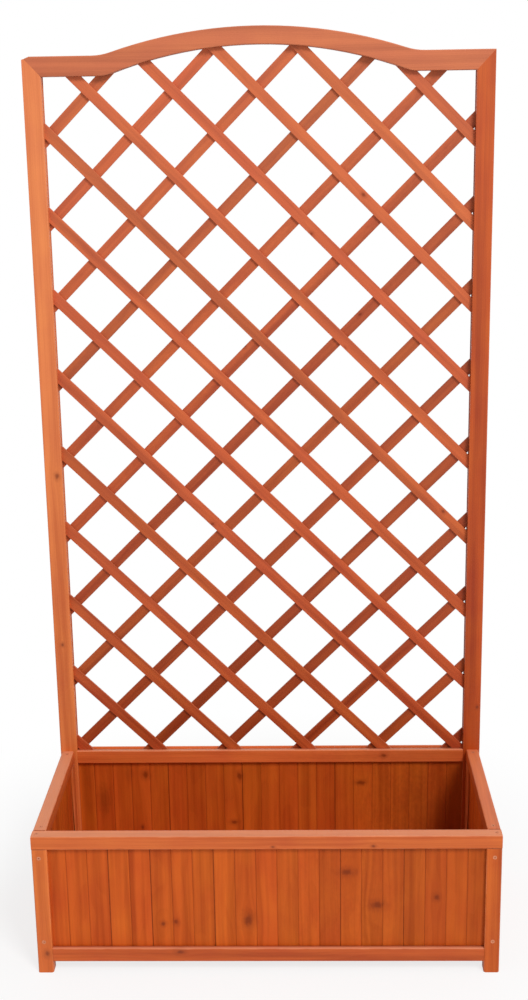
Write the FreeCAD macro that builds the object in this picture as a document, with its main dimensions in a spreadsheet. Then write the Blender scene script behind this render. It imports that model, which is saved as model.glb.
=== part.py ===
import FreeCAD, Part
import Sketcher
import math
import os
from types import SimpleNamespace

# A floor planter with a trellis. The box stands on four feet, and its two rear feet run
# up as the stiles of a lattice frame with an arched top rail. All of it is stained
# softwood: rails and posts screwed together, with tongued and grooved boards let into
# them. Millimetres. X runs to the right, Y to the back and Z up. The origin lies on the
# ground, under the middle of the whole object.

doc = FreeCAD.newDocument("planter_with_trellis")

# ---------------------------------------------------------------- driving dimensions

DRIVING = {
    # the box
    "box_width": 904,  # over the two front legs
    "overall_depth": 385,  # front of the box to the back of the trellis
    "box_height": 296,  # ground to the top of the box's rails
    "foot_clearance": 24,  # ground to the underside of the bottom rails
    "stock_depth": 26,  # thickness of the box's legs, rails and battens
    "leg_face": 30,  # front leg seen from the front
    "top_rail_height": 28,
    "bottom_rail_height": 29,
    # the trellis frame
    "stile_overhang": 3,  # how far a stile stands out past the side of the box
    "shoulder_height": 1750,  # ground to the flat ends of the arched rail
    "arch_rise": 50,  # flat ends to the middle of the arch
    "frame_thickness": 25,
    "stile_face": 36,  # stile seen from the front
    "mid_rail_height": 29,
    "shoulder_rail_depth": 38,  # arched rail at its flat ends
    "crown_rail_depth": 34,  # arched rail at its middle
    "arch_radius": 930,  # upper edge of the arch
    "arch_blend": 120,  # hollow between the shoulder and the upper edge
    "soffit_radius": 830,  # lower edge of the arch
    "soffit_blend": 60,  # hollow between the shoulder and the lower edge
    "frame_lip": 10,  # front of the frame to the groove in its inner edges
    "frame_groove": 8,  # depth of that groove, which holds the laths and the rear boards
    # the lattice
    "lath_width": 22,
    "lath_thickness": 5,  # two layers fill the groove
    "lattice_pitch": 162,  # corner to corner of one diamond, centre to centre
    "lattice_shift": -5,  # middle column of diamonds from the frame's middle
    "lattice_drop": 198,  # crown to the centres of the highest whole diamonds
    "lath_play": 1,  # end of a lath to the bottom of its groove
    # the boards
    "board_thickness": 10,
    "board_gap": 0.4,  # between neighbouring boards
    "board_play": 1,  # end or edge of a board to the wall of its groove
    "board_fit": 0.2,  # each side of a board in its groove
    "board_setback": 10,  # face of the rails to the face of the boards
    "groove_depth": 8,
    "joint_bevel": 1.8,  # makes the V between two boards
    "tongue_width": 5,
    "tongue_thickness": 3,
    "tongue_fit": 0.3,  # round a tongue in the next board's slot
    # stub tenons of the lower rails
    "tenon_length": 12,
    "tenon_thickness": 8,
    "tenon_shoulder": 3,  # step below and above a tenon
    "tenon_setback": 1,  # face of a rail to the face of its tenon
    # the floor
    "cleat_size": 18,  # square batten under the ends of the slats
    "slat_thickness": 12,
    "slat_gap": 8,
    "floor_play": 1,  # slats and cleats to the walls
    # the screws
    "shank_radius": 2,
    "head_radius": 4,
    "head_depth": 2.4,
    "drive_radius": 1.6,  # six-sided recess in a screw's head, over its corners
    "drive_depth": 1.4,
    "box_screw": 40,  # legs and top rails
    "batten_screw": 38,  # stiles to the rear battens
    "edge_screw": 60,  # edges of the stiles into the rails
    "cleat_screw": 30,
    "upper_screw_drop": 46,  # top of the box to the upper row of screws
    "lower_screw_rise": 68,  # ground to the lower row of screws
    "leg_screw_inset": 14,  # outer edge of a leg to its screws
    "rail_screw_inset": 10,  # end of the front top rail to its screw
    "stile_screw_inset": 13,  # outer edge of a stile to the screws in its back
    "cleat_screw_rise": 5,  # underside of a cleat to its screws
    "cleat_screw_inset": 60,  # end of a cleat to its first screw
}
FRONT_BOARDS = 21
REAR_BOARDS = 21
SIDE_BOARDS = 7
FLOOR_SLATS = 12
CLEAT_SCREWS = 4
LATHS_ABOVE = 3  # laths of each layer above the centres of the highest whole diamonds


class Size:
    """A length and its formula, so that what is worked out from it stays bound to the sheet."""

    def __init__(self, text, value):
        self.text = text
        self.value = value

    def joined(self, sign, other, value):
        return Size(f"({self.text} {sign} {formula(other)})", value)

    def __add__(self, other):
        return self.joined("+", other, self.value + number(other))

    def __sub__(self, other):
        return self.joined("-", other, self.value - number(other))

    def __mul__(self, other):
        return self.joined("*", other, self.value * number(other))

    def __truediv__(self, other):
        return self.joined("/", other, self.value / number(other))

    def __neg__(self):
        return self * -1


def formula(item):
    return item.text if isinstance(item, Size) else f"({item})"


def number(item):
    return item.value if isinstance(item, Size) else item


sheet = doc.addObject("Spreadsheet::Sheet", "Sizes")
sizes = {}
for row, (alias, value) in enumerate(DRIVING.items(), start=1):
    sheet.set(f"A{row}", alias)
    sheet.set(f"B{row}", str(value))
    sheet.setAlias(f"B{row}", alias)
    sizes[alias] = Size(f"Sizes.{alias}", value)
doc.recompute()
S = SimpleNamespace(**sizes)

# Places that several pieces share.
front_y = S.overall_depth * -0.5
back_y = S.overall_depth * 0.5
inner_front_y = front_y + S.stock_depth
frame_y = back_y - S.frame_thickness
lip_y = frame_y + S.frame_lip
leg_x = S.box_width / 2 - S.leg_face
side_x = S.box_width / 2 - S.stock_depth
stile_end = S.box_width / 2 + S.stile_overhang
stile_x = stile_end - S.stile_face
crown_z = S.shoulder_height + S.arch_rise
post_top = S.box_height - S.top_rail_height
bottom_top = S.foot_clearance + S.bottom_rail_height
groove_low = bottom_top - S.groove_depth
groove_high = post_top + S.groove_depth
mid_low = S.box_height - S.mid_rail_height

# ---------------------------------------------------------------- helpers

nodes = {}


def node(name, item):
    """Names a finished piece."""
    item.Label = name
    nodes[name] = item
    return item


def bind(item, name, size):
    item.setExpression(name, formula(size))


def put(item, x, y, z):
    bind(item, "Placement.Base.x", x)
    bind(item, "Placement.Base.y", y)
    bind(item, "Placement.Base.z", z)


def block(name, x, y, z):
    """A block between two sizes along each axis."""
    item = doc.addObject("Part::Box", name)
    bind(item, "Length", x[1] - x[0])
    bind(item, "Width", y[1] - y[0])
    bind(item, "Height", z[1] - z[0])
    put(item, x[0], y[0], z[0])
    return item


def group(name, items):
    item = doc.addObject("Part::Compound", name)
    item.Links = items
    return item


def fuse(name, items):
    item = doc.addObject("Part::MultiFuse", name)
    item.Shapes = items
    return item


def cut(name, base, tools):
    item = doc.addObject("Part::Cut", name)
    item.Base = base
    item.Tool = group(name + "_tools", tools)
    return item


def common(name, base, tool):
    item = doc.addObject("Part::Common", name)
    item.Base = base
    item.Tool = tool
    return item


def both_sides(low, high):
    """The same stretch of X on the left and on the right, with a name for each."""
    return (("left", (-high, -low)), ("right", (low, high)))


# ---------------------------------------------------------------- screws

SCREW_WAYS = {
    "down": FreeCAD.Vector(0, 0, -1),
    "back": FreeCAD.Vector(0, 1, 0),
    "front": FreeCAD.Vector(0, -1, 0),
    "left": FreeCAD.Vector(-1, 0, 0),
    "right": FreeCAD.Vector(1, 0, 0),
}


def turned(kind, name, way, x, y, z):
    """A round or prismatic solid that starts at a point and runs a given way."""
    item = doc.addObject(kind, name)
    item.Placement.Rotation = FreeCAD.Rotation(FreeCAD.Vector(0, 0, 1), SCREW_WAYS[way])
    put(item, x, y, z)
    return item


def screw(name, way, x, y, z, length):
    """A countersunk screw, its head flush at a point. Gives the plain screw, which also
    bores its hole, and the same screw with a six-sided recess in its head."""
    head = turned("Part::Cone", name + "_head", way, x, y, z)
    bind(head, "Radius1", S.head_radius)
    bind(head, "Radius2", S.shank_radius)
    bind(head, "Height", S.head_depth)
    shank = turned("Part::Cylinder", name + "_shank", way, x, y, z)
    bind(shank, "Radius", S.shank_radius)
    bind(shank, "Height", length)
    plain = fuse(name + "_plain", [head, shank])
    drive = turned("Part::Prism", name + "_drive", way, x, y, z)
    drive.Polygon = 6
    bind(drive, "Circumradius", S.drive_radius)
    bind(drive, "Height", S.drive_depth)
    return plain, cut(name, plain, [drive])


def screws(name, places):
    """A node of like screws. Gives the plain ones, which bore the timber."""
    made = [screw(f"{name}_{count}", *place) for count, place in enumerate(places, start=1)]
    node(name, group(name, [finished for plain, finished in made]))
    return [plain for plain, finished in made]


upper_z = S.box_height - S.upper_screw_drop
lower_z = S.lower_screw_rise
leg_screw_x = S.box_width / 2 - S.leg_screw_inset
batten_x = S.box_width / 2 - S.stock_depth / 2
stile_screw_x = stile_end - S.stile_screw_inset
frame_middle_y = back_y - S.frame_thickness / 2
cleat_low = bottom_top - S.cleat_size
cleat_end = side_x - S.floor_play

leg_screws = screws("leg_screws", [
    ("back", x, front_y, z, S.box_screw)
    for x in (-leg_screw_x, leg_screw_x) for z in (upper_z, lower_z)
])
front_rail_screws = screws("front_rail_screws", [
    ("down", x, front_y + S.stock_depth / 2, S.box_height, S.box_screw)
    for x in (-S.box_width / 2 + S.rail_screw_inset, S.box_width / 2 - S.rail_screw_inset)
])
side_rail_screws = screws("side_rail_screws", [
    ("down", x, y, S.box_height, S.box_screw)
    for x in (-batten_x, batten_x)
    for y in (inner_front_y + S.stock_depth / 2, frame_y - S.stock_depth / 2)
])
batten_screws = screws("batten_screws", [
    ("front", x, back_y, z, S.batten_screw)
    for x in (-stile_screw_x, stile_screw_x) for z in (upper_z, lower_z)
])
edge_screws = screws("edge_screws", [
    (way, x, frame_middle_y, z, S.edge_screw)
    for way, x in (("right", -stile_end), ("left", stile_end))
    for z in (S.foot_clearance + S.bottom_rail_height / 3, mid_low + S.mid_rail_height / 2,
              S.shoulder_height - S.shoulder_rail_depth / 2)
])
cleat_step = (cleat_end - S.cleat_screw_inset) * 2 / (CLEAT_SCREWS - 1)
cleat_screws = screws("cleat_screws", [
    (way, -cleat_end + S.cleat_screw_inset + cleat_step * step, y, cleat_low + S.cleat_screw_rise,
     S.cleat_screw)
    for way, y in (("front", inner_front_y + S.cleat_size), ("back", frame_y - S.cleat_size))
    for step in range(CLEAT_SCREWS)
])

# ---------------------------------------------------------------- arched outlines


def arched(name, foot, low, half, shoulder, centre, radius, blend, y):
    """A slab with two sides that rise from foot to half, flat shoulders and a round crown,
    blended by a hollow on each side. Its outline is a sketch seen from the front."""
    sketch = doc.addObject("Sketcher::SketchObject", name + "_outline")
    sketch.Placement.Rotation = FreeCAD.Rotation(FreeCAD.Vector(1, 0, 0), 90)
    bind(sketch, "Placement.Base.y", y[0])
    blend_z = number(shoulder + blend)
    rise = blend_z - number(centre)
    blend_x = math.sqrt(number(radius + blend) ** 2 - rise**2)
    lean = math.atan2(rise, blend_x)
    up = FreeCAD.Vector(0, 0, 1)
    corners = [
        FreeCAD.Vector(x, z, 0)
        for x, z in (
            (-blend_x, number(shoulder)),
            (-number(half), number(shoulder)),
            (-number(foot), number(low)),
            (number(foot), number(low)),
            (number(half), number(shoulder)),
            (blend_x, number(shoulder)),
        )
    ]
    lines = [Part.LineSegment(*ends) for ends in zip(corners, corners[1:])]

    def arc(x, z, bend, start, end):
        return Part.ArcOfCircle(Part.Circle(FreeCAD.Vector(x, z, 0), up, bend), start, end)

    arcs = [
        arc(blend_x, blend_z, number(blend), math.pi + lean, 1.5 * math.pi),
        arc(0, number(centre), number(radius), lean, math.pi - lean),
        arc(-blend_x, blend_z, number(blend), 1.5 * math.pi, 2 * math.pi - lean),
    ]
    left_flat, left, base, right, right_flat = sketch.addGeometry(lines)
    right_hollow, crown, left_hollow = sketch.addGeometry(arcs)
    start, end, middle, origin, upright = 1, 2, 3, -1, -2
    for kind, *places in (
        ("Coincident", left_flat, end, left, start),
        ("Coincident", left, end, base, start),
        ("Coincident", base, end, right, start),
        ("Coincident", right, end, right_flat, start),
        ("Tangent", right_flat, end, right_hollow, end),
        ("Tangent", right_hollow, start, crown, start),
        ("Tangent", crown, end, left_hollow, end),
        ("Tangent", left_hollow, start, left_flat, start),
        ("Horizontal", left_flat),
        ("Horizontal", right_flat),
        ("Symmetric", base, start, base, end, upright),
        ("Symmetric", left, start, right, end, upright),
        ("PointOnObject", crown, middle, upright),
        ("Equal", left_hollow, right_hollow),
    ):
        sketch.addConstraint(Sketcher.Constraint(kind, *places))
    for label, size, kind, *places in (
        ("foot", foot * 2, "DistanceX", base, start, base, end),
        ("low", low, "DistanceY", origin, start, base, start),
        ("half", half * 2, "DistanceX", left, start, right, end),
        ("shoulder", shoulder, "DistanceY", origin, start, right, end),
        ("centre", centre, "DistanceY", origin, start, crown, middle),
        ("radius", radius, "Radius", crown),
        ("blend", blend, "Radius", right_hollow),
    ):
        made = sketch.addConstraint(Sketcher.Constraint(kind, *places, number(size)))
        sketch.renameConstraint(made, label)
        bind(sketch, "Constraints." + label, size)
    item = doc.addObject("Part::Extrusion", name)
    item.Base = sketch
    item.DirMode = "Custom"
    item.Dir = FreeCAD.Vector(0, 1, 0)
    item.Solid = True
    bind(item, "LengthFwd", y[1] - y[0])
    return item


soffit_shoulder = S.shoulder_height - S.shoulder_rail_depth
soffit_centre = crown_z - S.crown_rail_depth - S.soffit_radius


def opening(name, low, spread, y):
    """The lattice's opening in the frame, widened on all sides but the lowest."""
    half = stile_x + spread
    return arched(name, half, low, half, soffit_shoulder + spread, soffit_centre,
                  S.soffit_radius + spread, S.soffit_blend - spread, y)


lattice_low = S.box_height - S.frame_groove
lattice_y = (lip_y, lip_y + S.lath_thickness * 2)
frame_opening = opening("frame_opening", lattice_low, S.frame_groove * 0, (frame_y, back_y))
lattice_groove = opening("lattice_groove", lattice_low, S.frame_groove, lattice_y)

# ---------------------------------------------------------------- grooves and tenons

panel_y = (front_y + S.board_setback, front_y + S.board_setback + S.board_thickness)
groove_y = (panel_y[0] - S.board_fit, panel_y[1] + S.board_fit)
front_groove = block("front_groove", (-leg_x - S.groove_depth, leg_x + S.groove_depth), groove_y,
                     (groove_low, groove_high))

side_panel_x = (S.box_width / 2 - S.board_setback - S.board_thickness,
                S.box_width / 2 - S.board_setback)
side_batten_y = (inner_front_y + S.stock_depth, frame_y - S.stock_depth)
side_grooves = [
    block(side + "_groove", x, (side_batten_y[0] - S.groove_depth, side_batten_y[1] + S.groove_depth),
          (groove_low, groove_high))
    for side, x in both_sides(side_panel_x[0] - S.board_fit, side_panel_x[1] + S.board_fit)
]

rear_low = bottom_top - S.frame_groove
rear_high = mid_low + S.frame_groove
rear_half = stile_x + S.frame_groove
rear_panel_y = (lip_y, lip_y + S.board_thickness)
rear_groove = block("rear_groove", (-rear_half, rear_half), (lip_y, rear_panel_y[1] + S.board_fit),
                    (rear_low, rear_high))


def tenon(name, reach, y, z):
    """One tongue through a whole rail; its two ends stand out as stub tenons."""
    return block(name, (-reach - S.tenon_length, reach + S.tenon_length),
                 (y + S.tenon_setback, y + S.tenon_setback + S.tenon_thickness),
                 (z[0] + S.tenon_shoulder, z[1] - S.tenon_shoulder))


bottom_z = (S.foot_clearance, bottom_top)
mid_z = (mid_low, S.box_height)
front_tenon = tenon("front_tenon", leg_x, front_y, bottom_z)
mid_tenon = tenon("mid_tenon", stile_x, frame_y, mid_z)
rear_tenon = tenon("rear_tenon", stile_x, frame_y, bottom_z)

# ---------------------------------------------------------------- trellis frame

arch_slab = arched("arch_slab", stile_x, soffit_shoulder, stile_end, S.shoulder_height,
                   crown_z - S.arch_radius, S.arch_radius, S.arch_blend, (frame_y, back_y))
node("arched_top_rail", cut("arched_top_rail", arch_slab, [frame_opening, lattice_groove] + edge_screws))

for side, x in both_sides(stile_x, stile_end):
    post = block(side + "_post", x, (frame_y, back_y), (S.box_height * 0, S.shoulder_height))
    node(side + "_stile", cut(side + "_stile", post, [
        arch_slab, lattice_groove, rear_groove, mid_tenon, rear_tenon] + edge_screws + batten_screws))

for name, z, tongue in (("mid_rail", mid_z, mid_tenon), ("rear_bottom_rail", bottom_z, rear_tenon)):
    bar = fuse(name + "_bar", [block(name + "_body", (-stile_x, stile_x), (frame_y, back_y), z), tongue])
    node(name, cut(name, bar, [lattice_groove, rear_groove] + edge_screws + cleat_screws))

# ---------------------------------------------------------------- lattice

ROOT_2 = math.sqrt(2)
lattice_z = crown_z - S.lattice_drop
lath_spread = S.frame_groove - S.lath_play
lath_low = lattice_low + S.lath_play
layers = {
    "front": (lip_y, lip_y + S.lath_thickness),
    "rear": (lip_y + S.lath_thickness, lattice_y[1]),
}
# A lath is known by the height at which its middle line crosses the frame's middle. Those
# of one layer stand half a pitch and a whole number of pitches from the centre of the
# highest whole diamond, between the far shoulder and the near lower corner.
highest = soffit_shoulder + stile_x
lowest = S.box_height - stile_x
reach = S.shoulder_height
half_lath = S.lath_width / 2 / ROOT_2

for layer, y in layers.items():
    field = opening(layer + "_field", lath_low, lath_spread, y)
    leaning = 1 if layer == "front" else -1
    middle = lattice_z + S.lattice_shift * leaning
    first = math.ceil((middle - highest).value / S.lattice_pitch.value - 0.5)
    last = math.floor((middle - lowest).value / S.lattice_pitch.value - 0.5)
    for step in range(first, last + 1):
        count = LATHS_ABOVE + 1 + step
        height = middle - S.lattice_pitch * (step + 0.5)
        strip = doc.addObject("Part::Box", f"{layer}_strip_{count:02d}")
        strip.Placement.Rotation = FreeCAD.Rotation(FreeCAD.Vector(0, 1, 0), 45 * leaning)
        bind(strip, "Length", reach * 2)
        bind(strip, "Width", S.lath_thickness)
        bind(strip, "Height", S.lath_width)
        put(strip, (height / 2 - half_lath) * leaning - reach / ROOT_2, y[0],
            height / 2 + reach / ROOT_2 * leaning - half_lath)
        name = f"{layer}_lath_{count:02d}"
        node(name, common(name, strip, field))

# ---------------------------------------------------------------- box

for side, x in both_sides(leg_x, S.box_width / 2):
    leg = block(side + "_leg_blank", x, (front_y, inner_front_y), (S.box_height * 0, post_top))
    node(side + "_front_leg", cut(side + "_front_leg", leg, [front_groove, front_tenon]
                                  + leg_screws + front_rail_screws))

top_blank = block("front_top_blank", (-S.box_width / 2, S.box_width / 2), (front_y, inner_front_y),
                  (post_top, S.box_height))
node("front_top_rail", cut("front_top_rail", top_blank, [front_groove] + front_rail_screws))
bottom_blank = block("front_bottom_blank", (-leg_x, leg_x), (front_y, inner_front_y), bottom_z)
node("front_bottom_rail", cut("front_bottom_rail", fuse("front_bottom_bar", [bottom_blank, front_tenon]),
                              [front_groove] + cleat_screws))

tenon_x = (side_x + S.tenon_setback, side_x + S.tenon_setback + S.tenon_thickness)
tenons = dict(both_sides(*tenon_x))
for (side, x), groove in zip(both_sides(side_x, S.box_width / 2), side_grooves):
    tongue = block(side + "_tenon", tenons[side],
                   (side_batten_y[0] - S.tenon_length, side_batten_y[1] + S.tenon_length),
                   (bottom_z[0] + S.tenon_shoulder, bottom_z[1] - S.tenon_shoulder))
    top = block(side + "_top_blank", x, (inner_front_y, frame_y), (post_top, S.box_height))
    node(side + "_top_rail", cut(side + "_top_rail", top, [groove] + side_rail_screws))
    bottom = block(side + "_bottom_blank", x, side_batten_y, bottom_z)
    node(side + "_bottom_rail", cut(side + "_bottom_rail", fuse(side + "_bottom_bar", [bottom, tongue]),
                                    [groove]))
    for place, y in (("front", (inner_front_y, side_batten_y[0])), ("rear", (side_batten_y[1], frame_y))):
        name = f"{side}_{place}_batten"
        blank = block(name + "_blank", x, y, (S.foot_clearance, post_top))
        node(name, cut(name, blank, [groove, tongue] + leg_screws + side_rail_screws + batten_screws))

# ---------------------------------------------------------------- boards


def boards(name, count, along, face, foot, top, quarter_turn=False):
    """A row of tongued and grooved boards between two places along a wall. Each has a V
    bevel on its four long corners, a slot in its left edge and a tongue on its right; the
    last tongue is planed off where the row ends."""
    pitch = (along[1] - along[0]) / count
    thick = S.board_thickness
    gap = S.board_gap / 2
    bevel = S.joint_bevel
    body = doc.addObject("PartDesign::Body", name + "_row")
    body.AllowCompound = True
    sketch = body.newObject("Sketcher::SketchObject", name + "_profile")
    plane = next(item for item in body.Origin.OriginFeatures if item.Role == "XY_Plane")
    sketch.AttachmentSupport = [(plane, "")]
    sketch.MapMode = "FlatFace"
    slot = (thick / 2 - S.tongue_thickness / 2 - S.tongue_fit,
            thick / 2 + S.tongue_thickness / 2 + S.tongue_fit)
    tongue = (thick / 2 - S.tongue_thickness / 2, thick / 2 + S.tongue_thickness / 2)
    left = gap
    right = pitch - gap
    slot_end = left + S.tongue_width + S.tongue_fit
    zero = gap * 0
    points = [
        (left + bevel, zero), (right - bevel, zero), (right, bevel),
        (right, tongue[0]), (right + S.tongue_width, tongue[0]),
        (right + S.tongue_width, tongue[1]), (right, tongue[1]),
        (right, thick - bevel), (right - bevel, thick), (left + bevel, thick),
        (left, thick - bevel), (left, slot[1]), (slot_end, slot[1]),
        (slot_end, slot[0]), (left, slot[0]), (left, bevel),
    ]
    spots = [FreeCAD.Vector(number(x), number(y), 0) for x, y in points]
    lines = sketch.addGeometry([
        Part.LineSegment(start, end) for start, end in zip(spots, spots[1:] + spots[:1])])
    for line, following in zip(lines, lines[1:] + lines[:1]):
        sketch.addConstraint(Sketcher.Constraint("Coincident", line, 2, following, 1))
    for line, (x, y) in zip(lines, points):
        for kind, size in (("DistanceX", x), ("DistanceY", y)):
            made = sketch.addConstraint(Sketcher.Constraint(kind, -1, 1, line, 1, number(size)))
            sketch.renameConstraint(made, f"{kind}_{line}")
            bind(sketch, f"Constraints.{kind}_{line}", size)
    pad = body.newObject("PartDesign::Pad", name + "_board")
    pad.Profile = sketch
    bind(pad, "Length", top - foot)
    row = body.newObject("PartDesign::LinearPattern", name + "_pattern")
    row.Originals = [pad]
    row.Direction = (sketch, ["H_Axis"])
    row.Occurrences = count
    bind(row, "Length", pitch * (count - 1))
    body.Tip = row
    if quarter_turn:
        body.Placement.Rotation = FreeCAD.Rotation(FreeCAD.Vector(0, 0, 1), 90)
        put(body, face[1], along[0], foot)
        wall = block(name + "_wall", face, along, (foot, top))
    else:
        put(body, along[0], face[0], foot)
        wall = block(name + "_wall", along, face, (foot, top))
    node(name, common(name, body, wall))


board_top = groove_high - S.board_play
front_half = leg_x + S.groove_depth - S.board_play
boards("front_boards", FRONT_BOARDS, (-front_half, front_half), panel_y, groove_low, board_top)
rear_board_half = rear_half - S.board_play
boards("rear_boards", REAR_BOARDS, (-rear_board_half, rear_board_half), rear_panel_y,
       rear_low, rear_high - S.board_play)
side_slack = S.groove_depth - S.board_play
for side, x in both_sides(*side_panel_x):
    boards(side + "_boards", SIDE_BOARDS, (side_batten_y[0] - side_slack, side_batten_y[1] + side_slack),
           x, groove_low, board_top, quarter_turn=True)

# ---------------------------------------------------------------- floor

for place, y in (("front", (inner_front_y, inner_front_y + S.cleat_size)),
                 ("rear", (frame_y - S.cleat_size, frame_y))):
    name = place + "_cleat"
    blank = block(name + "_blank", (-cleat_end, cleat_end), y, (cleat_low, bottom_top))
    node(name, cut(name, blank, cleat_screws))

slat_y = (inner_front_y + S.floor_play, frame_y - S.floor_play)
slat_width = (cleat_end * 2 + S.slat_gap) / FLOOR_SLATS - S.slat_gap
slats = []
for count in range(FLOOR_SLATS):
    start = -cleat_end + (slat_width + S.slat_gap) * count
    slats.append(block(f"floor_slat_{count + 1:02d}", (start, start + slat_width), slat_y,
                       (bottom_top, bottom_top + S.slat_thickness)))
node("floor_slats", group("floor_slats", slats))

# ---------------------------------------------------------------- check and save

doc.recompute()
for item in doc.Objects:
    if "Invalid" in item.State or "Error" in item.State:
        raise RuntimeError(f"{item.Label} failed: {item.State}")
os.makedirs("parts", exist_ok=True)
for name, item in nodes.items():
    if item.Shape.isNull() or not item.Shape.isValid():
        raise RuntimeError(f"{name} has no valid shape")
for name, item in nodes.items():
    item.Shape.exportStep(f"parts/{name}.step")
    print(f"{name}: {len(item.Shape.Solids)} solids, {item.Shape.Volume / 1000:.1f} cm3")
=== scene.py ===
import math

import bmesh
import bpy
from mathutils import Matrix, Vector


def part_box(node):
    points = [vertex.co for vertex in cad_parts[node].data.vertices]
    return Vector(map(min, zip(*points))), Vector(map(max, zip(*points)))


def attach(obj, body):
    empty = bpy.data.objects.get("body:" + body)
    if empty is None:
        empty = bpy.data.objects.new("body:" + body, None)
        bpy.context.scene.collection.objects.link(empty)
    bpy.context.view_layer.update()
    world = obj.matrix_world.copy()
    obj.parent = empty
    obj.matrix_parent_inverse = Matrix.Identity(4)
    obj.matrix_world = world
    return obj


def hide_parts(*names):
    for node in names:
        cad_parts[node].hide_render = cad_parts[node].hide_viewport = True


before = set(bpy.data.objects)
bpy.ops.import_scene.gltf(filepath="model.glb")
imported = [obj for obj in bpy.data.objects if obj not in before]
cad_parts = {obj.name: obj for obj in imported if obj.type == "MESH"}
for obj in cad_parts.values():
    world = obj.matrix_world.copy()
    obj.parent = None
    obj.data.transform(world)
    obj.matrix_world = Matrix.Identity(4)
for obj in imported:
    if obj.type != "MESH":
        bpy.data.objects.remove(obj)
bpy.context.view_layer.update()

# ---------------------------------------------------------------- studio
# A white studio: the camera stands a little above the middle of the trellis and looks
# down at the box, and the floor is pale and keeps a soft shadow. One large soft lamp
# hangs high in front on the right and lights into the box.

IMAGE_WIDTH, IMAGE_HEIGHT = 528, 1000
FOCAL_PIXELS = 1336.9
LENS_AXIS = (268.3, 452.4)
CAMERA_PLACE = Vector((0.0748, -2.4947, 1.6214))
CAMERA_TURN = math.radians(1.438)
CAMERA_DIP = math.radians(13.889)
CAMERA_ROLL = math.radians(-0.911)
SENSOR = 36.0
FLOOR_SIZE = 14.0
FLOOR_SHADE = 0.92
SHADOW_SHARE = 0.22
SHADOW_REACH = (0.50, 1.05)
SURROUND_LIGHT = 0.50
LAMP_PLACE = Vector((2.7, -4.5, 5.9))
LAMP_AIM = Vector((0.0, 0.0, 0.8))
LAMP_SIZE = 2.0
LAMP_POWER = 345.0

scene = bpy.context.scene
scene.view_settings.view_transform = "Standard"


class Wire:
    """A value on its way through a material. Sums and products of wires add maths nodes."""

    def __init__(self, tree, socket):
        self.tree = tree
        self.socket = socket

    def node(self, kind, settings=None, inputs=None, out=0):
        """Adds a node, its settings first, then the values or wires of its sockets."""
        made = self.tree.nodes.new("ShaderNode" + kind)
        for name, value in (settings or {}).items():
            setattr(made, name, value)
        for place, value in (inputs or {}).items():
            if isinstance(value, Wire):
                self.tree.links.new(value.socket, made.inputs[place])
            else:
                made.inputs[place].default_value = value
        return Wire(self.tree, made.outputs[out])

    def maths(self, operation, *values):
        return self.node("Math", {"operation": operation}, dict(enumerate((self,) + values)))

    def __add__(self, other):
        return self.maths("ADD", other)

    def __sub__(self, other):
        return self.maths("SUBTRACT", other)

    def __mul__(self, other):
        return self.maths("MULTIPLY", other)

    def __truediv__(self, other):
        return self.maths("DIVIDE", other)

    def __rsub__(self, other):
        return self.node("Math", {"operation": "SUBTRACT"}, {0: other, 1: self})

    def __rtruediv__(self, other):
        return self.node("Math", {"operation": "DIVIDE"}, {0: other, 1: self})

    __radd__ = __add__
    __rmul__ = __mul__

    def parts(self):
        """The three numbers of a vector."""
        return [self.node("SeparateXYZ", inputs={0: self}, out=axis) for axis in range(3)]

    def between(self, low, high):
        """0 below low, 1 above high and a smooth rise in between."""
        settings = {"interpolation_type": "SMOOTHSTEP"}
        return self.node("MapRange", settings, {"Value": self, "From Min": low, "From Max": high})


def material(name):
    """An empty material, its surface socket and a wire to start from."""
    made = bpy.data.materials.new(name)
    made.use_nodes = True
    made.node_tree.nodes.clear()
    output = made.node_tree.nodes.new("ShaderNodeOutputMaterial")
    return made, output.inputs["Surface"], Wire(made.node_tree, None)


def seen(start):
    """1 for what the camera sees, straight or in a mirror, and 0 for light that falls."""
    direct, glossy, through = (
        start.node("LightPath", out=f"Is {kind} Ray")
        for kind in ("Camera", "Glossy", "Transmission")
    )
    return direct.maths("MAXIMUM", glossy).maths("MAXIMUM", through)


bpy.ops.object.select_all(action="DESELECT")
bpy.ops.mesh.primitive_plane_add(size=FLOOR_SIZE)
floor = bpy.context.object
floor.name = "studio_floor"
paint, surface, start = material("studio floor, pale")
place = start.node("TexCoord", out="Object")
away = start.node("VectorMath", {"operation": "LENGTH"}, {0: place}, out="Value")
shadowed = start.node("BsdfDiffuse", inputs={"Color": (FLOOR_SHADE,) * 3 + (1,)})
white = start.node("Emission", inputs={"Color": (1, 1, 1, 1), "Strength": 1.0})
share = seen(start) * (1 - SHADOW_SHARE * (1 - away.between(*SHADOW_REACH)))
shade = start.node("MixShader", inputs={0: share, 1: shadowed, 2: white})
start.tree.links.new(shade.socket, surface)
floor.data.materials.append(paint)

world = bpy.data.worlds.new("white surround")
world.use_nodes = True
scene.world = world
start = Wire(world.node_tree, None)
background = world.node_tree.nodes["Background"]
background.inputs["Color"].default_value = (1, 1, 1, 1)
brightness = SURROUND_LIGHT + seen(start) * (1 - SURROUND_LIGHT)
start.tree.links.new(brightness.socket, background.inputs["Strength"])

bpy.ops.object.light_add(type="AREA", location=LAMP_PLACE)
lamp = bpy.context.object
lamp.data.size = LAMP_SIZE
lamp.data.energy = LAMP_POWER
lamp.rotation_euler = (LAMP_AIM - LAMP_PLACE).to_track_quat("-Z", "Y").to_euler()

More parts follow.
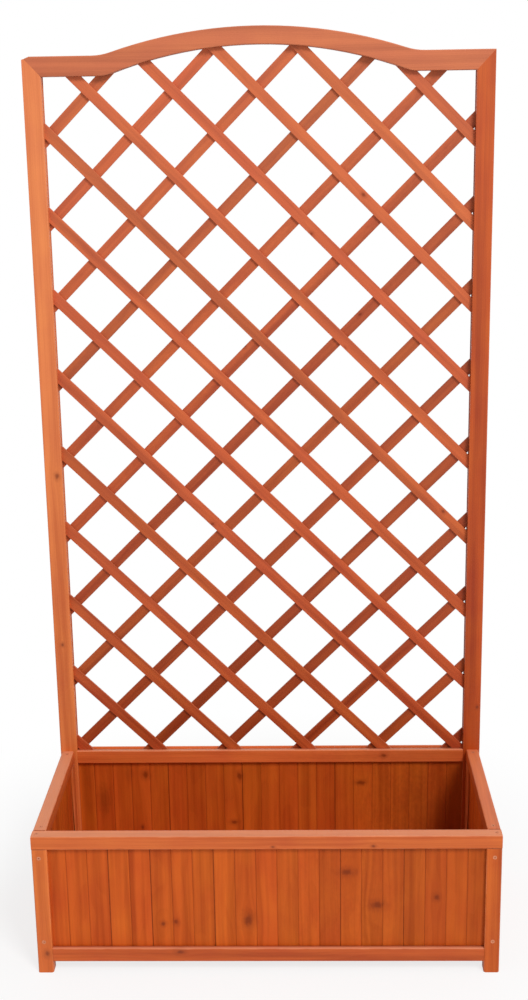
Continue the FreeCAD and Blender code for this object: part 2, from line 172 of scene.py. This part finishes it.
bpy.ops.object.camera_add()
camera = bpy.context.object
camera.data.sensor_width = SENSOR
camera.data.lens = FOCAL_PIXELS / IMAGE_HEIGHT * SENSOR
camera.data.shift_x = (IMAGE_WIDTH / 2 - LENS_AXIS[0]) / IMAGE_HEIGHT
camera.data.shift_y = (LENS_AXIS[1] - IMAGE_HEIGHT / 2) / IMAGE_HEIGHT
camera.matrix_world = (
    Matrix.Translation(CAMERA_PLACE)
    @ Matrix.Rotation(CAMERA_TURN, 4, "Z")
    @ Matrix.Rotation(math.pi / 2 - CAMERA_DIP, 4, "X")
    @ Matrix.Rotation(CAMERA_ROLL, 4, "Z")
)
scene.camera = camera

# ---------------------------------------------------------------- trellis frame
# Two stiles that run down to the ground behind the box, an arched rail sawn from one
# board and mitred to them, and two straight rails. Planed softwood with its long edges
# eased, stained red-brown; the stain is paler along the edges and darker in the knots.

ALONG_X = Vector((1, 0, 0))
ALONG_Y = Vector((0, 1, 0))
ALONG_Z = Vector((0, 0, 1))
FRAME_ARRIS = 0.0022
ARRIS_STEPS = 3
MERGE_WITHIN = 1e-5
FLAT_WITHIN = math.radians(0.5)
SHARP_FROM = math.radians(40)
CORNER_FROM = 1.0
ALIGNED = 0.999
STEEP = 0.6
KNOCK_LOW = Vector((-0.455, 0.0, 1.7440))
KNOCK_OUTWARD = Vector((-6.0, 0.0, 14.0)).normalized()
ON_EDGE = 2e-5
MILLIMETRES = 1000.0


def merged(node):
    """A copy of a CAD piece's mesh with its points merged and its flat faces whole,
    as the active object in edit mode with nothing selected."""
    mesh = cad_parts[node].data.copy()
    mesh.materials.clear()
    piece = bpy.data.objects.new(node + "_timber", mesh)
    scene.collection.objects.link(piece)
    bpy.ops.object.select_all(action="DESELECT")
    piece.select_set(True)
    bpy.context.view_layer.objects.active = piece
    bpy.ops.object.mode_set(mode="EDIT")
    bpy.ops.mesh.select_all(action="SELECT")
    bpy.ops.mesh.remove_doubles(threshold=MERGE_WITHIN)
    bpy.ops.mesh.dissolve_limited(angle_limit=FLAT_WITHIN)
    bpy.ops.mesh.select_all(action="DESELECT")
    return piece


def smoothed(piece):
    """Leaves edit mode and shades the rounded edges smooth and the faces flat."""
    bpy.ops.object.mode_set(mode="OBJECT")
    bpy.ops.object.shade_smooth_by_angle(angle=SHARP_FROM)
    weighted = piece.modifiers.new("flat faces", "WEIGHTED_NORMAL")
    weighted.keep_sharp = True
    bpy.ops.object.modifier_apply(modifier=weighted.name)


def is_corner(edge):
    return edge.is_manifold and edge.is_convex and edge.calc_face_angle() > CORNER_FROM


def rounded(arris):
    """Rounds the selected edges."""
    bpy.ops.mesh.bevel(offset=arris, segments=ARRIS_STEPS, affect="EDGES", clamp_overlap=False)


def knock():
    """Takes off the frame's upper left corner, which has had a knock."""
    bpy.ops.mesh.select_all(action="SELECT")
    bpy.ops.mesh.bisect(plane_co=KNOCK_LOW, plane_no=KNOCK_OUTWARD, use_fill=True, clear_outer=True)
    bpy.ops.mesh.select_all(action="DESELECT")


def planed(node, along, arris):
    """A straight timber: the four outer edges along its grain are rounded."""
    piece = merged(node)
    if node == "left_stile":
        knock()
    shape = bmesh.from_edit_mesh(piece.data)
    side = ALONG_Y if along.y == 0 else ALONG_X
    ways = (side, along.cross(side).normalized())
    spans = [[point.co.dot(way) for point in shape.verts] for way in ways]
    for edge in shape.edges:
        if not is_corner(edge):
            continue
        ends = [point.co for point in edge.verts]
        if abs((ends[1] - ends[0]).normalized().dot(along)) < ALIGNED:
            continue
        edge.select = all(
            min(abs(end.dot(way) - min(span)), abs(end.dot(way) - max(span))) < ON_EDGE
            for end in ends
            for way, span in zip(ways, spans)
        )
    rounded(arris)
    smoothed(piece)
    return piece


def sawn(node, arris):
    """The arched rail: the edges of its front and back are rounded, but not its mitres."""
    piece = merged(node)
    knock()
    low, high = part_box(node)
    shape = bmesh.from_edit_mesh(piece.data)
    for edge in shape.edges:
        ends = [point.co for point in edge.verts]
        steep = abs((ends[1] - ends[0]).normalized().z) > STEEP
        faces = [min(abs(end.y - low.y), abs(end.y - high.y)) < ON_EDGE for end in ends]
        edge.select = all(faces) and is_corner(edge) and not steep
    rounded(arris)
    smoothed(piece)
    return piece


def dress(piece, paint, node):
    """Gives a finished piece its material and its body, and hides its CAD node."""
    piece.data.materials.append(paint)
    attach(piece, "root")
    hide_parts(node)


def colour(red, green, blue):
    """A colour as it looks on a screen, 0 to 255, in the light values of a material."""
    channels = [value / 255 for value in (red, green, blue)]
    return tuple(
        part / 12.92 if part <= 0.04045 else ((part + 0.055) / 1.055) ** 2.4
        for part in channels
    ) + (1,)


def mix(low, high, factor):
    """A colour between two, as a wire."""
    return factor.node("Mix", {"data_type": "RGBA"}, {0: factor, 6: low, 7: high}, out=2)


QUARTER = math.pi / 2
# How a Mapping node turns a timber so that its grain runs along the first axis, its
# thickness along the second and its width along the third.
GRAIN = {
    "x": (0, 0, 0),
    "y": (0, 0, -QUARTER),
    "z": (0, QUARTER, 0),
    "z of a side wall": (-QUARTER, 0, -QUARTER),
    "y of a floor": (-QUARTER, -QUARTER, 0),
    "falling": (0, -QUARTER / 2, 0),
    "rising": (0, QUARTER / 2, 0),
}
END_STAIN = colour(122, 42, 12)
DARK_STAIN_AND_SHADE = colour(104, 34, 4)
# The pale colour of the painted sheen on the tops and the upper trellis.
SHEEN_TINT = colour(238, 172, 136)
UPWARD_SHEEN = 0.44
# Growth rings: how far the pith lies behind the face, how far it may stray from there,
# the width of a ring and how far a ring wanders, in millimetres.
PITH_DEPTH = 22
PITH_SPREAD = 46.0
RING = 3.6
RING_WANDER = 24
# Noise stretched along the fibres: waves per millimetre along them and across, detail
# and start.
NOISES = {
    "band": (0.0016, 0.05, 1.0, 5.0),
    "streak": (0.0030, 0.15, 3.0, 0.0),
    "fibre": (0.016, 1.2, 2.0, 17.0),
    "blotch": (0.011, 0.020, 2.0, 41.0),
    "worn": (0.030, 0.045, 3.0, 73.0),
    "wander": (0.0035, 0.014, 2.0, 3.1),
}
# Knots that no list places: the length and width of the cell that may hold one, half the
# length and width of the knot, and the radius that its fibres bend round.
STRAY_CELL = (230, 47)
STRAY_KNOT = (3.6, 2.8)
STRAY_BEND = 3.0
# How much of its colour each stain lends.
END_SHARE = 0.4
EDGE_SHARE = 0.4
HALO_SHARE = 0.30
KNOT_SHARE = 0.62
RELIEF_STRENGTH = 0.25
RELIEF_DEPTH = 0.0006


def timber(name, grain, pale, deep, edge, gloss=0.3, knots=(), stains_and_shade=(), stray=0.0,
           board=None, tone=0.05, height_sheen=0.0, top_sheen=UPWARD_SHEEN, seed=0.0):
    """Stained softwood as a solid: growth rings round a pith that lies outside the piece,
    fibres, streaks and blotches of stain, and knots with the fibres bent round them.
    Lengths are millimetres. A knot is (along, across, half its length, half its width)
    and a stain has its strength after them; some of these stains are painted shade. board
    is the width and the first edge of boards side by side, each from another part of the
    tree. edge is the colour that the eased edges wear to, stray the share of places that
    may hold a knot, tone how much the boards differ, height_sheen how much paler the
    colour is painted towards the top of the trellis, a painted sheen, and top_sheen how
    much paler a face that looks up is painted, a painted sheen."""
    paint, surface, start = material(name)
    turn = GRAIN[grain]
    where = start.node("TexCoord", out="Object")
    sizing = {"Vector": where, "Rotation": turn, "Scale": (MILLIMETRES,) * 3}
    u, v, w = start.node("Mapping", inputs=sizing).parts()
    pick, other = seed * 0.37 % 1, seed * 0.73 % 1
    middle = 0.0
    if board:
        width, first = board
        number = ((w - first) / width).maths("FLOOR")
        middle = number * width + (first + width / 2)
        pick, other = (
            number.node("TexWhiteNoise", {"noise_dimensions": "1D"}, {"W": number + seed + shift})
            for shift in (0, 50)
        )

    def patch(du, dw, half_length, half_width, frayed):
        """Distance from a patch's middle, 1 at its frayed rim."""
        du, dw = du / half_length, dw / half_width
        return (du * du + dw * dw).maths("SQRT") + frayed

    def bend(du, dw, radius, strength):
        """Fibres that part in front of a knot and close again behind it."""
        near = du * du * 0.16 + dw * dw
        reach = (radius * 1.7) ** 2
        return dw * (reach / (near + reach)) * strength

    fray = u.node("CombineXYZ", inputs={0: u * 0.10, 1: v * 0.1, 2: w * 0.16})
    fray = (u.node("TexNoise", inputs={"Vector": fray, "Detail": 2.0, "Scale": 1.0}) - 0.5) * 1.3
    knot, halo, stain_and_shade, flow = 0.0, 0.0, 0.0, w
    for along, across, half_length, half_width in knots:
        du, dw = u - along, w - across
        flow = flow - bend(du, dw, (half_length + half_width) / 2, 1.0)
        far = patch(du, dw, half_length, half_width, fray)
        knot = (1 - far.between(0.3, 1.4)).maths("MAXIMUM", knot)
        halo = (1 - far.between(0.8, 3.0)).maths("MAXIMUM", halo)
    if stray:
        length, width = STRAY_CELL
        cells = u.node("CombineXYZ", inputs={0: u / length + pick * 13, 1: seed, 2: w / width})
        places = {"Vector": cells, "Scale": 1.0, "Randomness": 0.8}
        spot = u.node("TexVoronoi", inputs=places, out="Position")
        chance = u.node("TexVoronoi", inputs=places, out="Color").parts()[0]
        away = u.node("VectorMath", {"operation": "SUBTRACT"}, {0: cells, 1: spot}).parts()
        du, dw = away[0] * length, away[2] * width
        present = chance.maths("LESS_THAN", stray)
        far = patch(du, dw, *STRAY_KNOT, fray)
        flow = flow - bend(du, dw, STRAY_BEND, present * (1 - far.between(3, 5)))
        knot = ((1 - far.between(0.35, 1.15)) * present).maths("MAXIMUM", knot)
        halo = ((1 - far.between(0.8, 2.8)) * present).maths("MAXIMUM", halo)
    for along, across, half_length, half_width, strength in stains_and_shade:
        far = patch(u - along, w - across, half_length, half_width, fray * 0.4)
        stain_and_shade = ((1 - far.between(0.2, 1.0)) * strength).maths("MAXIMUM", stain_and_shade)

    def speckle(along, across, detail, offset):
        """One of the noises, about 0, in another place for each board."""
        point = u.node("CombineXYZ", inputs={
            0: u * along + pick * 91 + offset, 1: v * across + other * 57, 2: flow * across + seed,
        })
        return u.node("TexNoise", inputs={"Vector": point, "Detail": detail, "Scale": 1.0}) - 0.5

    band, streak, fibre, blotch, worn, wander = (speckle(*noise) for noise in NOISES.values())
    out_v = v + (PITH_DEPTH + pick * PITH_SPREAD)
    out_w = flow - middle - (other - 0.5) * PITH_SPREAD
    ring = (out_v * out_v + out_w * out_w).maths("SQRT") + wander * RING_WANDER
    phase = (ring / RING).maths("FRACT")
    late = phase.between(0.35, 0.92) * (1 - phase.between(0.93, 1.0))

    share = 0.62 + band * 2.2 + streak * 1.5 + fibre * 0.42 - late * 0.15
    base = mix(deep, pale, share.node("Clamp", inputs={0: share}))
    base = base.node("HueSaturation", inputs={
        "Hue": 0.5 + (other - 0.5) * 0.006 + blotch * 0.012,
        "Value": 1 + (pick - 0.5) * 2 * tone + blotch * 0.24,
        "Color": base,
    })
    turned = start.node("Mapping", {"vector_type": "NORMAL"}, {
        "Vector": start.node("TexCoord", out="Normal"), "Rotation": turn,
    })
    nu, nv, nw = (side.maths("ABSOLUTE") for side in turned.parts())
    end = nu.between(0.75, 0.9)
    eased = 1 - nu.maths("MAXIMUM", nv).maths("MAXIMUM", nw).between(0.86, 0.985)
    # The colour is painted paler towards the top: a painted sheen.
    if height_sheen:
        height = where.parts()[2]
        base = mix(base, SHEEN_TINT, height.between(0.2, 1.9) * height_sheen)
    # A face that looks up is painted paler: a painted sheen.
    top_sheen_mask = start.node("TexCoord", out="Normal").parts()[2].between(0.6, 0.95)
    base = mix(base, SHEEN_TINT, top_sheen_mask * top_sheen)
    base = mix(base, END_STAIN, end * END_SHARE)
    # Real stains, and painted shade that is given as stains.
    if stains_and_shade:
        base = mix(base, DARK_STAIN_AND_SHADE, stain_and_shade * (1 + worn * 0.4))
    if knots or stray:
        base = mix(base, END_STAIN, halo * HALO_SHARE)
        base = mix(base, DARK_STAIN_AND_SHADE, knot * KNOT_SHARE)
    base = mix(base, edge, eased * (worn + 0.5).between(0.3, 0.7) * EDGE_SHARE)
    rough = 0.50 + fibre * 0.3 + late * 0.05 + end * 0.2 - knot * 0.12
    relief = fibre * 0.5 - late * 0.35 + streak * 0.3 - knot * 0.4
    bump = relief.node("Bump", inputs={
        "Height": relief, "Strength": RELIEF_STRENGTH, "Distance": RELIEF_DEPTH,
    })
    shader = base.node("BsdfPrincipled", inputs={
        "Base Color": base, "Roughness": rough, "Normal": bump, "Specular IOR Level": gloss,
    })
    start.tree.links.new(shader.socket, surface)
    return paint


FRAME_PALE = colour(192, 91, 50)
FRAME_DEEP = colour(162, 67, 30)
FRAME_EDGE = colour(222, 138, 96)
# How much paler the frame is painted towards the top, a painted sheen.
FRAME_HEIGHT_SHEEN = 0.16
arch_paint = timber("arched rail, stained", "x", FRAME_PALE, FRAME_DEEP, FRAME_EDGE,
                    height_sheen=FRAME_HEIGHT_SHEEN, seed=1.0)
dress(sawn("arched_top_rail", FRAME_ARRIS), arch_paint, "arched_top_rail")

# The left stile is painted paler than the right one, painted light that falls off from
# left to right. Each one's colours, how much paler its colour is painted at the top, a
# painted sheen, and its knots, across them from minus the place in the frame.
STILES = {
    "left_stile": (
        colour(223, 122, 62), colour(196, 96, 42), 0.14, [(916, 430, 5, 4), (544, 438, 4, 3)],
    ),
    "right_stile": (colour(190, 80, 18), colour(158, 58, 6), 0.05, [(395, -447, 4, 3)]),
}
for seed, (node, (pale, deep, height_sheen, knots)) in enumerate(STILES.items(), start=2):
    stile_paint = timber(node.replace("_", " ") + ", stained", "z", pale, deep, FRAME_EDGE,
                         knots=knots, height_sheen=height_sheen, seed=seed)
    dress(planed(node, ALONG_Z, FRAME_ARRIS), stile_paint, node)

MID_KNOTS = [(248, 283, 5, 4)]
# The mid rail is painted darker towards the right, a painted shade.
MID_SHADE = [(430, 283, 430, 600, 0.22)]
RAIL_PALE = colour(230, 108, 54)
RAIL_DEEP = colour(200, 86, 36)
for node, knots, stains_and_shade, seed in (
    ("mid_rail", MID_KNOTS, MID_SHADE, 4.0), ("rear_bottom_rail", (), (), 5.0),
):
    rail_paint = timber(node.replace("_", " ") + ", stained", "x", RAIL_PALE, RAIL_DEEP,
                        FRAME_EDGE, knots=knots, stains_and_shade=stains_and_shade, seed=seed)
    dress(planed(node, ALONG_X, FRAME_ARRIS), rail_paint, node)

# ---------------------------------------------------------------- lattice
# Two layers of thin laths of stained softwood, glued where they cross, with their ends in
# the groove of the frame. The front ones fall to the right and the rear ones rise. Each
# comes from another board.

LATH_ARRIS = 0.0008
LATTICE_PITCH = 162.0
LATH_STEP = LATTICE_PITCH / math.sqrt(2)
LATTICE_MIDDLE = (-5.0, 1602.0)
LATH_EDGE = colour(206, 120, 82)
LATH_GLOSS = 0.25
LATH_STRAY = 0.05
LATH_TONE = 0.06
# How much paler the laths are painted towards the top, a painted sheen.
LATH_HEIGHT_SHEEN = 0.13
# Knots: along the lath, across the layer, half the length and half the width. The rear
# laths are painted darker on the right, a painted shade.
LAYERS = {
    "front": ("falling", ALONG_X - ALONG_Z, 1, colour(200, 90, 42), colour(166, 66, 26),
              [(-903, 1189, 4, 3), (-326, 848, 4, 3), (-650, 492, 4, 3)], []),
    "rear": ("rising", ALONG_X + ALONG_Z, -1, colour(194, 86, 38), colour(160, 62, 24),
             # The rear layer's stain is painted shade, darker on the right.
             [(1017, 740, 4, 3)], [(850, 300, 4000, 1000, 0.32)]),
}

for layer, (grain, along, lean, pale, deep, knots, stains_and_shade) in LAYERS.items():
    middle = (LATTICE_MIDDLE[0] * lean + LATTICE_MIDDLE[1]) / math.sqrt(2)
    lath_paint = timber(layer + " laths, stained", grain, pale, deep, LATH_EDGE,
                        gloss=LATH_GLOSS, knots=knots, stains_and_shade=stains_and_shade, stray=LATH_STRAY,
                        board=(LATH_STEP, middle), tone=LATH_TONE, height_sheen=LATH_HEIGHT_SHEEN,
                        seed=6.0 + lean)
    for node in sorted(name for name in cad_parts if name.startswith(layer + "_lath")):
        dress(planed(node, along.normalized(), LATH_ARRIS), lath_paint, node)

# ---------------------------------------------------------------- box frame
# Square timbers: two legs under a rail that runs over them, bottom rails tenoned between
# the uprights, side rails that lie on short battens. The edges are eased more than the
# trellis's, so the rails catch the light in a soft line.

BOX_ARRIS = 0.0030
BOX_PALE = colour(215, 110, 50)
BOX_DEEP = colour(184, 84, 32)
BOX_EDGE = colour(232, 148, 104)
# Grain and knots: along the timber, across it, half the length and half the width.
BOX_TIMBERS = {
    "front_top_rail": ("x", [(206, 275, 3.5, 2.5), (14, 274, 3, 2), (-281, 267, 4, 2)]),
    "front_bottom_rail": ("x", [(-171, 46, 7, 4)]),
    "left_front_leg": ("z", [(42, 433, 6, 4)]),
    "right_front_leg": ("z", []),
}
for side in ("left", "right"):
    BOX_TIMBERS[side + "_top_rail"] = ("y", [])
    BOX_TIMBERS[side + "_bottom_rail"] = ("y", [])
    BOX_TIMBERS[side + "_front_batten"] = ("z", [])
    BOX_TIMBERS[side + "_rear_batten"] = ("z", [])
WAYS = {"x": ALONG_X, "y": ALONG_Y, "z": ALONG_Z}
# These have colours of their own: the left leg is painted paler and the right leg
# deeper, painted light that falls off from left to right, and the front bottom rail is
# deeper. The right rail's top has less of the painted sheen than the others.
TONE_AND_PAINTED_LIGHT = {
    "front_bottom_rail": (colour(206, 98, 38), colour(174, 76, 24), UPWARD_SHEEN),
    "left_front_leg": (colour(226, 116, 52), colour(196, 92, 36), UPWARD_SHEEN),
    "right_front_leg": (colour(204, 96, 28), colour(170, 70, 12), UPWARD_SHEEN),
    "right_top_rail": (colour(212, 102, 38), colour(182, 80, 26), 0.22),
}

for seed, (node, (grain, knots)) in enumerate(BOX_TIMBERS.items(), start=10):
    pale, deep, top_sheen = TONE_AND_PAINTED_LIGHT.get(node, (BOX_PALE, BOX_DEEP, UPWARD_SHEEN))
    box_paint = timber(node.replace("_", " ") + ", stained", grain, pale, deep, BOX_EDGE,
                       knots=knots, top_sheen=top_sheen, seed=seed)
    dress(planed(node, WAYS[grain], BOX_ARRIS), box_paint, node)

# ---------------------------------------------------------------- boards
# Narrow tongued and grooved boards that stand in grooves of the rails, each with its own
# tone. Most joints are tight, and a few have opened and hold a dark line of stain. Knots
# are common in these boards.

BOARD_PALE = colour(204, 92, 27)
BOARD_DEEP = colour(173, 72, 15)
BOARD_EDGE = colour(172, 70, 20)
ROUGH_GLOSS = 0.15
BOARD_STRAY = 0.15
BOARD_TONE = 0.04
JOINT_BEVEL = 0.0018
TIGHT_JOINT = 0.0007
# The dark line in an open joint, as a stain: its middle, half its height, half its width
# and its strength.
OPEN_MIDDLE = 160
OPEN_HALF = 400
OPEN_JOINT = 1.7
OPEN_STRENGTH = 0.6
# Each wall's grain, number of boards, knots and stains (height, minus the place across,
# half the height, half the width, a stain's strength), and its open joints from the left.
# Some of the stains are painted shade.
WALLS = {
    "front_boards": ("z", 21, [
        (213, -155, 6, 11), (142, -214, 7, 11), (159, -329, 6, 5), (110, 37, 12, 8),
        (102, 203, 4, 4), (106, 178, 5, 4),
    ], [
        # The last stain is painted shade: the front boards are painted darker towards the right.
        (196, -160, 30, 14, 0.14), (120, -208, 34, 12, 0.16), (160, -400, 700, 420, 0.21),
    ], (3, 5, 8, 14, 17)),
    "rear_boards": ("z", 21, [
        (235, 273, 8, 6), (107, 284, 4, 3), (213, -199, 4, 9), (230, 66, 8, 5), (119, 80, 4, 7),
    ], [
        # The third stain is painted shade: the rear right corner inside the box is painted darker.
        (174, 366, 50, 22, 0.35), (240, 308, 34, 14, 0.2), (140, -470, 300, 330, 0.46),
        (140, -398, 36, 14, 0.4),
    ], (5, 9, 14)),
    "left_boards": ("z of a side wall", 7, [], [], ()),
    "right_boards": ("z of a side wall", 7, [], [], ()),
}
# The right wall's boards are painted paler than the others, painted light for a wall
# that the lamp does not reach.
RIGHT_LIT_PALE = colour(226, 106, 36)
RIGHT_LIT_DEEP = colour(196, 84, 22)


def joined(node, thickness=None):
    """A row of boards or slats, merged; along the axis of its thickness the bevels of
    its joints are pushed out to what a tight joint shows."""
    piece = merged(node)
    if thickness is not None:
        low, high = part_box(node)
        shape = bmesh.from_edit_mesh(piece.data)
        for face, outward in ((low[thickness], -1), (high[thickness], 1)):
            for point in shape.verts:
                point.select = abs(point.co[thickness] - (face - outward * JOINT_BEVEL)) < ON_EDGE
            shape.select_flush(True)
            shift = Vector()
            shift[thickness] = outward * (JOINT_BEVEL - TIGHT_JOINT)
            bpy.ops.transform.translate(value=shift)
    bpy.ops.object.mode_set(mode="OBJECT")
    return piece


for seed, (node, (grain, count, knots, stains_and_shade, opened)) in enumerate(WALLS.items(), start=31):
    low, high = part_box(node)
    axis = 0 if grain == "z" else 1
    width = (high[axis] - low[axis]) * MILLIMETRES / count
    lines = [
        (OPEN_MIDDLE, -low[axis] * MILLIMETRES - joint * width, OPEN_HALF, OPEN_JOINT,
         OPEN_STRENGTH)
        for joint in opened
    ]
    pale, deep = (RIGHT_LIT_PALE, RIGHT_LIT_DEEP) if node == "right_boards" else (BOARD_PALE, BOARD_DEEP)
    board_paint = timber(node.replace("_", " ") + ", stained", grain, pale, deep, BOARD_EDGE,
                         gloss=ROUGH_GLOSS, knots=knots, stains_and_shade=stains_and_shade + lines,
                         stray=0 if knots else BOARD_STRAY,
                         board=(width, -high[axis] * MILLIMETRES), tone=BOARD_TONE, seed=seed)
    dress(joined(node, 1 - axis), board_paint, node)

# ---------------------------------------------------------------- floor of the box
# Sawn softwood slats laid across two cleats, with gaps that let water out. The cleats
# are screwed to the bottom rails.

FLOOR_PALE = colour(190, 92, 40)
FLOOR_DEEP = colour(150, 62, 22)
CLEAT_STRAY = 0.1
SLATS = 12
SLAT_GAP = 0.008
SLAT_STRAY = 0.2
SLAT_TONE = 0.08
for seed, node in enumerate(("front_cleat", "rear_cleat"), start=41):
    cleat_paint = timber(node.replace("_", " ") + ", stained", "x", FLOOR_PALE, FLOOR_DEEP,
                         FRAME_EDGE, gloss=ROUGH_GLOSS, stray=CLEAT_STRAY, seed=seed)
    dress(planed(node, ALONG_X, LATH_ARRIS), cleat_paint, node)
low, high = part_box("floor_slats")
slat_width = (high.x - low.x + SLAT_GAP) / SLATS * MILLIMETRES
first_edge = (low.x - SLAT_GAP / 2) * MILLIMETRES
slat_paint = timber("floor slats, stained", "y of a floor", FLOOR_PALE, FLOOR_DEEP, FRAME_EDGE,
                    gloss=ROUGH_GLOSS, stray=SLAT_STRAY, board=(slat_width, first_edge),
                    tone=SLAT_TONE, seed=43)
dress(joined("floor_slats"), slat_paint, "floor_slats")

# ---------------------------------------------------------------- screws
# Countersunk steel screws, yellow zinc plated, with a little of the stain on them. They
# hold the legs, the rails, the battens and the cleats.

screw_paint, surface, start = material("zinc plated screws")
place = start.node("TexCoord", out="Object")
clouds = place.node("TexNoise", inputs={"Vector": place, "Scale": 900.0, "Detail": 3.0})
tarnish = clouds.between(0.35, 0.7)
base = mix(colour(224, 150, 112), colour(178, 96, 58), tarnish)
shader = base.node("BsdfPrincipled", inputs={
    "Base Color": base, "Metallic": 0.3, "Roughness": 0.45 + tarnish * 0.2,
})
start.tree.links.new(shader.socket, surface)
for name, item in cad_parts.items():
    if name.endswith("_screws"):
        item.data.materials.clear()
        item.data.materials.append(screw_paint)
